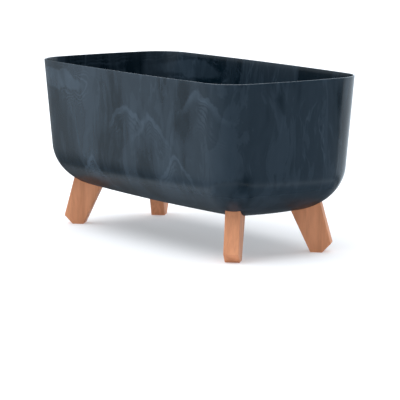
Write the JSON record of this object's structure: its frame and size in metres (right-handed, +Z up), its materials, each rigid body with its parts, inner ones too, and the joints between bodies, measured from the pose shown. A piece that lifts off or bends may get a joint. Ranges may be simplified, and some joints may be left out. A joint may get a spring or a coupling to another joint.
{
  "type": "raised planter on legs",
  "caption": "Rectangular self-watering planter: a round-bellied tub with bowed sides on splayed plank legs, with a lift-out drainage insert on slotted wick cups.",
  "frame": {"origin": "on the ground, under the middle of the tub", "axes": "+X along the tub's long side, towards the end whose insert has the port; +Y to the back long side; +Z up"},
  "size_m": [0.6, 0.3038, 0.2925],
  "materials": {
    "tub_plastic": "satin-glossy slate blue with marbled flow streaks",
    "leg_wood": "matt oiled, fine grain",
    "screw_steel": "zinc plated",
    "washer_rubber": "matt",
    "insert_plastic": "fine matt texture"
  },
  "bodies": {
    "planter": {"tub": "tub_plastic", "leg_sockets": "tub_plastic", "leg_front_left": "leg_wood", "leg_front_right": "leg_wood", "leg_back_left": "leg_wood", "leg_back_right": "leg_wood", "leg_screws": "screw_steel", "sealing_washers": "washer_rubber"},
    "insert": {"drainage_plate": "insert_plastic", "plate_domes": "insert_plastic", "plate_ridge": "insert_plastic", "port_collar": "insert_plastic", "wick_cup_1": "insert_plastic", "wick_cup_2": "insert_plastic", "wick_cup_3": "insert_plastic", "wick_cup_4": "insert_plastic", "wick_cup_5": "insert_plastic", "wick_cup_6": "insert_plastic", "wick_cup_7": "insert_plastic", "wick_cup_8": "insert_plastic"}
  },
  "joints": [
    {"name": "insert_lift", "type": "slide", "parent": "planter", "child": "insert", "axis": [0, 0, 1], "range_m": [0, 0.26]}
  ]
}
